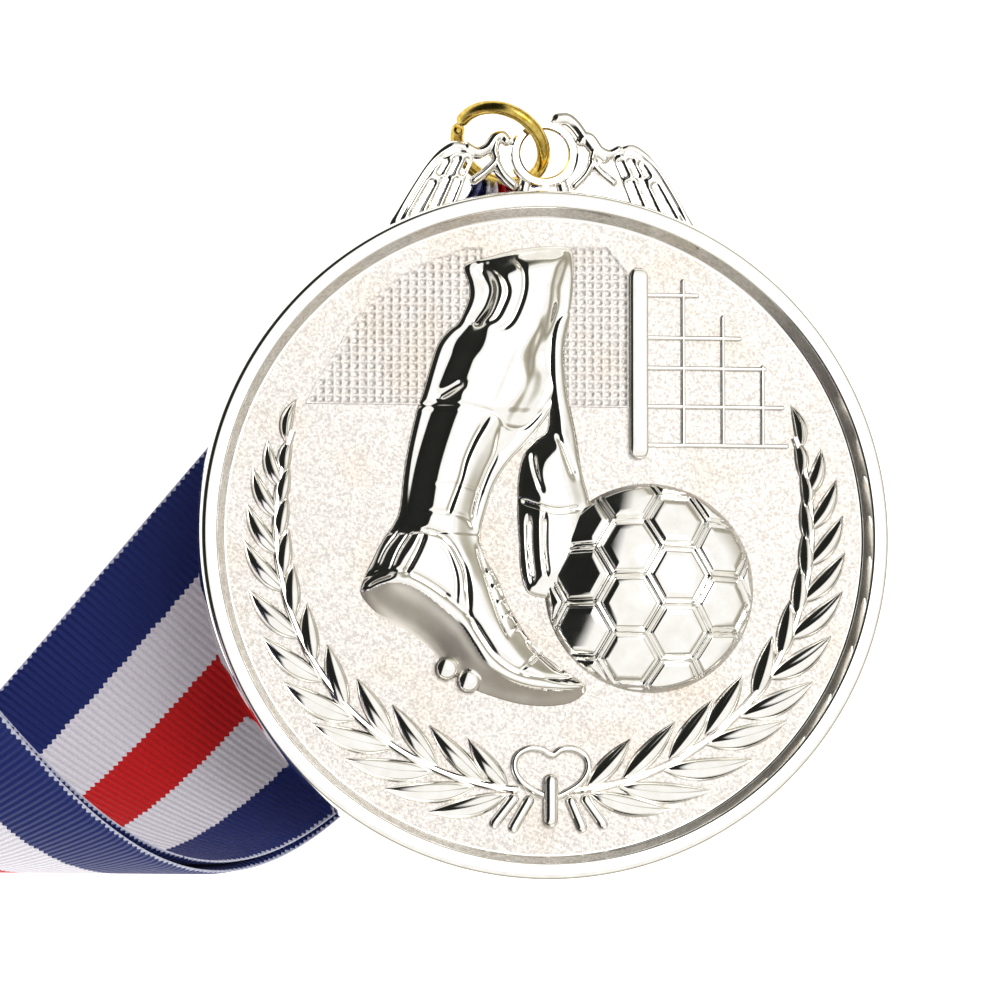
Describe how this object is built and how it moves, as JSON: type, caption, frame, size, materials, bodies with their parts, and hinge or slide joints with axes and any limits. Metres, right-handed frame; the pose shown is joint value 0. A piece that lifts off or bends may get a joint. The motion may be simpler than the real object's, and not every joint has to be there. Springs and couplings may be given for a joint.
{
  "type": "sports medal",
  "caption": "Round cast sports medal with a raised rim and relief, a winged hanger, a split ring and a striped neck ribbon folded up beneath it.",
  "frame": {"origin": "on the table, on the disc's axis, where the tape's underside lies", "axes": "+Z out of the medal's face, +Y towards the hanger; the table is at z = 0 and the medal's flat back at z = 0.0114"},
  "size_m": [0.0891, 0.0566, 0.0339],
  "materials": {
    "nickel_plate": "polished relief and rim on a sand-blasted field",
    "brass_wire": "bright drawn wire",
    "polyester_ribbon": "ribbed woven tape with blue, white and red stripes",
    "polyester_thread": "sewn bar of thread"
  },
  "bodies": {
    "medal": {"medal_casting": "nickel_plate"},
    "ring": {"split_ring": "brass_wire"},
    "ribbon": {"ribbon_neck": "polyester_ribbon", "ribbon_folds": "polyester_ribbon", "ribbon_curl": "polyester_ribbon", "bar_tack": "polyester_thread"}
  },
  "joints": [
    {"name": "ring_swing", "type": "hinge", "parent": "medal", "child": "ring", "pos_m": [0, 0.0278, 0.0127], "axis": [0.9229, -0.231, 0.3079], "range_deg": [0, 45]},
    {"name": "ribbon_swing", "type": "hinge", "parent": "ring", "child": "ribbon", "pos_m": [-0.00288, 0.02618, 0.0094], "axis": [0.9229, -0.231, 0.3079], "range_deg": [0, 90]}
  ]
}
